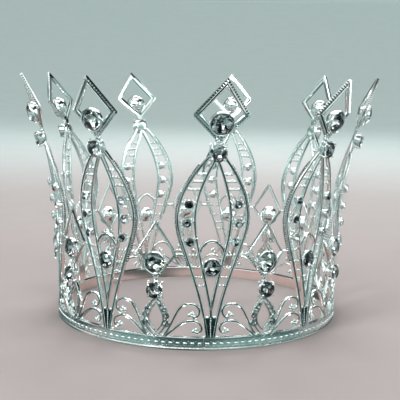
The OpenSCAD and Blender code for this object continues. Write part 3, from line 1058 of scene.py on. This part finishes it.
def floor_material():
    """A plain pale floor, painted lighter far off where the lamps fall off, with dark and light zones in
    what the crown mirrors, as cards would give.
    """
    material, tree, shader = node_tree("pale_floor")
    place = tree.nodes.new("ShaderNodeTexCoord")
    away = tree.nodes.new("ShaderNodeVectorMath")
    away.operation = "LENGTH"
    link(tree, place, "Object", away, 0)
    # what the eye sees: lighter and greener towards the far background, the lightening painted light where
    # the lamps don't reach
    far = ramp(tree, away, "Value", [
        (0.1, (0.42, 0.36, 0.355)), (0.4, (0.44, 0.4, 0.395)), (1.0, (0.66, 0.74, 0.73)),
    ])
    mottle = ramp(tree, noise(tree, 30, 2), "Fac", [(0.3, grey(0.97)), (0.7, grey(1.0))])
    seen = product(tree, far, mottle)

    # rings of colour by distance, one set before and behind the crown, one at its sides
    teal, pale = (0.2, 0.34, 0.33), (0.8, 0.7, 0.7)
    inside, blush = (0.5, 0.33, 0.31), (0.5, 0.44, 0.44)
    before = ramp(tree, away, "Value", [
        (0.06, inside), (0.068, teal), (0.14, teal), (0.144, pale), (0.164, pale),
        (0.168, teal), (0.3, teal), (0.34, (0.6, 0.66, 0.66)),
    ])
    aside = ramp(tree, away, "Value", [
        (0.06, inside), (0.068, blush), (0.12, (0.4, 0.4, 0.4)), (0.5, (0.5, 0.58, 0.58)),
    ])
    unit = tree.nodes.new("ShaderNodeVectorMath")
    unit.operation = "NORMALIZE"
    link(tree, place, "Object", unit, 0)
    axes = tree.nodes.new("ShaderNodeSeparateXYZ")
    link(tree, unit, "Vector", axes, "Vector")
    turned = tree.nodes.new("ShaderNodeMapRange")
    turned.inputs["From Min"].default_value = -1.0
    link(tree, axes, "Y", turned, "Value")
    spread = ramp(tree, turned, "Result", [
        (0.11, grey(0.0)), (0.17, grey(1.0)), (0.64, grey(1.0)), (0.74, grey(0.0)),
    ])
    zones = mixed(tree, before.outputs["Color"], aside.outputs["Color"], spread.outputs["Color"])
    patches = ramp(tree, noise(tree, 16, 0), "Fac", [(0.42, (0.16, 0.24, 0.24)), (0.48, grey(1.0))])
    broken = mixed(tree, zones, patches.outputs["Color"], blend="MULTIPLY")
    tree.links.new(seen_or_mirrored(tree, seen, broken), shader.inputs["Base Color"])
    shader.inputs["Roughness"].default_value = 0.8
    return material


def floor_mesh():
    """A wide round floor that rises gently into the far background."""
    rows, around = 24, 96
    verts, faces = [Vector((0, 0, 0))], []
    for i in range(1, rows + 1):
        r = 3.0 * (i / rows) ** 2
        z = 0.35 * max(0.0, (r - 0.9) / 2.1) ** 2
        angles = [2 * pi * k / around for k in range(around)]
        verts += [Vector((r * cos(a), r * sin(a), z)) for a in angles]
    for k in range(around):
        m = (k + 1) % around
        faces.append([0, 1 + k, 1 + m])
        for i in range(rows - 1):
            a, b = 1 + i * around, 1 + (i + 1) * around
            faces.append([a + k, b + k, b + m, a + m])
    mesh = bpy.data.meshes.new("floor")
    mesh.from_pydata(verts, [], faces)
    mesh.materials.append(floor_material())
    for p in mesh.polygons:
        p.use_smooth = True
    return mesh


def studio_world():
    """Soft grey-green light from all round, with dark gaps between its panels in what is mirrored."""
    world = bpy.data.worlds.new("studio")
    world.use_nodes = True
    tree = world.node_tree
    sky = tree.nodes["Background"]
    place = tree.nodes.new("ShaderNodeTexCoord")
    parts = tree.nodes.new("ShaderNodeSeparateXYZ")
    link(tree, place, "Generated", parts, "Vector")
    room = ramp(tree, parts, "Z", [
        (0.0, (0.4, 0.57, 0.55)), (0.18, (0.5, 0.7, 0.67)), (0.3, (0.15, 0.24, 0.23)),
        (0.5, (0.8, 0.92, 0.9)), (1.0, (1.0, 1.0, 1.0)),
    ])
    patches = tree.nodes.new("ShaderNodeTexNoise")
    patches.inputs["Scale"].default_value = 2.1
    patches.inputs["Detail"].default_value = 0.0
    link(tree, place, "Generated", patches, "Vector")
    gaps = ramp(tree, patches, "Fac", [(0.4, grey(0.03)), (0.5, grey(1.0))])
    behind = ramp(tree, parts, "Y", [
        (0.0, grey(1.0)), (0.5, grey(0.75)), (0.85, grey(0.4)), (1.0, grey(0.3)),
    ])
    lit = mixed(tree, product(tree, room, gaps), behind.outputs["Color"], blend="MULTIPLY")
    seen = ramp(tree, parts, "Z", [
        (0.0, (0.5, 0.52, 0.51)), (0.12, (0.3, 0.42, 0.41)), (1.0, (0.4, 0.52, 0.51)),
    ])
    tree.links.new(seen_or_mirrored(tree, seen.outputs["Color"], lit), sky.inputs["Color"])
    sky.inputs["Strength"].default_value = 1.0
    return world


floor = bpy.data.objects.new("floor", floor_mesh())
bpy.context.scene.collection.objects.link(floor)
bpy.context.scene.world = studio_world()


def softbox(name, place, aim, size, power, colour=(1, 1, 1)):
    """A rectangular area light at a place, turned towards its aim."""
    light = bpy.data.lights.new(name, "AREA")
    light.shape = "RECTANGLE"
    light.size, light.size_y = size
    light.energy = power
    light.color = colour
    lamp = bpy.data.objects.new(name, light)
    bpy.context.scene.collection.objects.link(lamp)
    lamp.location = place
    lamp.rotation_euler = (Vector(aim) - Vector(place)).to_track_quat("-Z", "Y").to_euler()


# lights all round, aimed at the crown's middle; places and sizes in metres, power in watts
middle = (0, 0, 0.05)
softbox("key", (-0.6, -0.6, 0.7), middle, (0.22, 0.4), 3.2)
softbox("fill", (0.75, -0.35, 0.45), middle, (0.1, 0.4), 1.2)
softbox("back", (0.15, 0.8, 0.6), middle, (0.6, 0.2), 3.2)
softbox("top", (0, 0, 1.1), middle, (0.3, 0.3), 2.0)
softbox("front", (0, -1.0, 0.62), middle, (0.9, 0.35), 1.0, (0.9, 1.0, 0.97))
bpy.context.scene.view_settings.view_transform = "Standard"
bpy.context.scene.view_settings.look = "Medium High Contrast"

# the camera: its place round the crown's axis, how far out and how high, and how it is turned
camera_data = bpy.data.cameras.new("camera")
camera_data.lens = 80.2
camera_data.sensor_width = 36
camera_data.clip_start = 0.01
camera = bpy.data.objects.new("camera", camera_data)
bpy.context.scene.collection.objects.link(camera)
bpy.context.scene.camera = camera
view_azimuth, view_distance, view_height = -5.25, 0.4118, 0.1146
pitch, yaw, roll = radians(8.68), radians(0.13), radians(0.94)
heading = radians(view_azimuth)
forward = Vector((sin(yaw) * cos(pitch), cos(yaw) * cos(pitch), -sin(pitch)))
right = Vector((cos(yaw), -sin(yaw), 0))
up = right.cross(forward)
tilted_right = right * cos(roll) + up * sin(roll)
tilted_up = up * cos(roll) - right * sin(roll)
look = Matrix((tilted_right, tilted_up, -forward)).transposed().to_4x4()
camera.matrix_world = (
    Matrix.Rotation(heading, 4, "Z") @ Matrix.Translation((0, -view_distance, view_height)) @ look
)

bpy.context.view_layer.update()
